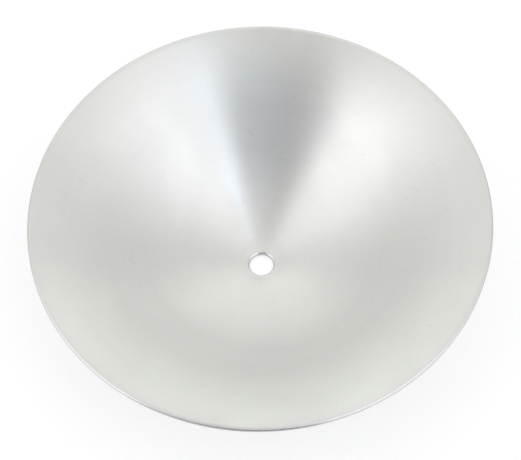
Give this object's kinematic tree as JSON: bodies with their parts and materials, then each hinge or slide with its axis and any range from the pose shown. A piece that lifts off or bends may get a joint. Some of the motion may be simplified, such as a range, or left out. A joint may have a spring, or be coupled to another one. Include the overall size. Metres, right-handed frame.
{
  "type": "bell cymbal",
  "caption": "Deep bell-shaped aluminium cymbal with a flared brim, a rounded rim and a central stand hole, lying open side up on its crown.",
  "frame": {"origin": "centre of the stand hole, on the plane that the crown rests on", "axes": "+Z along the stand hole, out of the bell's open side; X and Y are alike, because the shell is turned about Z"},
  "size_m": [0.2286, 0.2286, 0.0489],
  "materials": {
    "satin_aluminium": "satin, with fine turning marks round the axis"
  },
  "bodies": {
    "root": {"bell_shell": "satin_aluminium"}
  },
  "joints": []
}
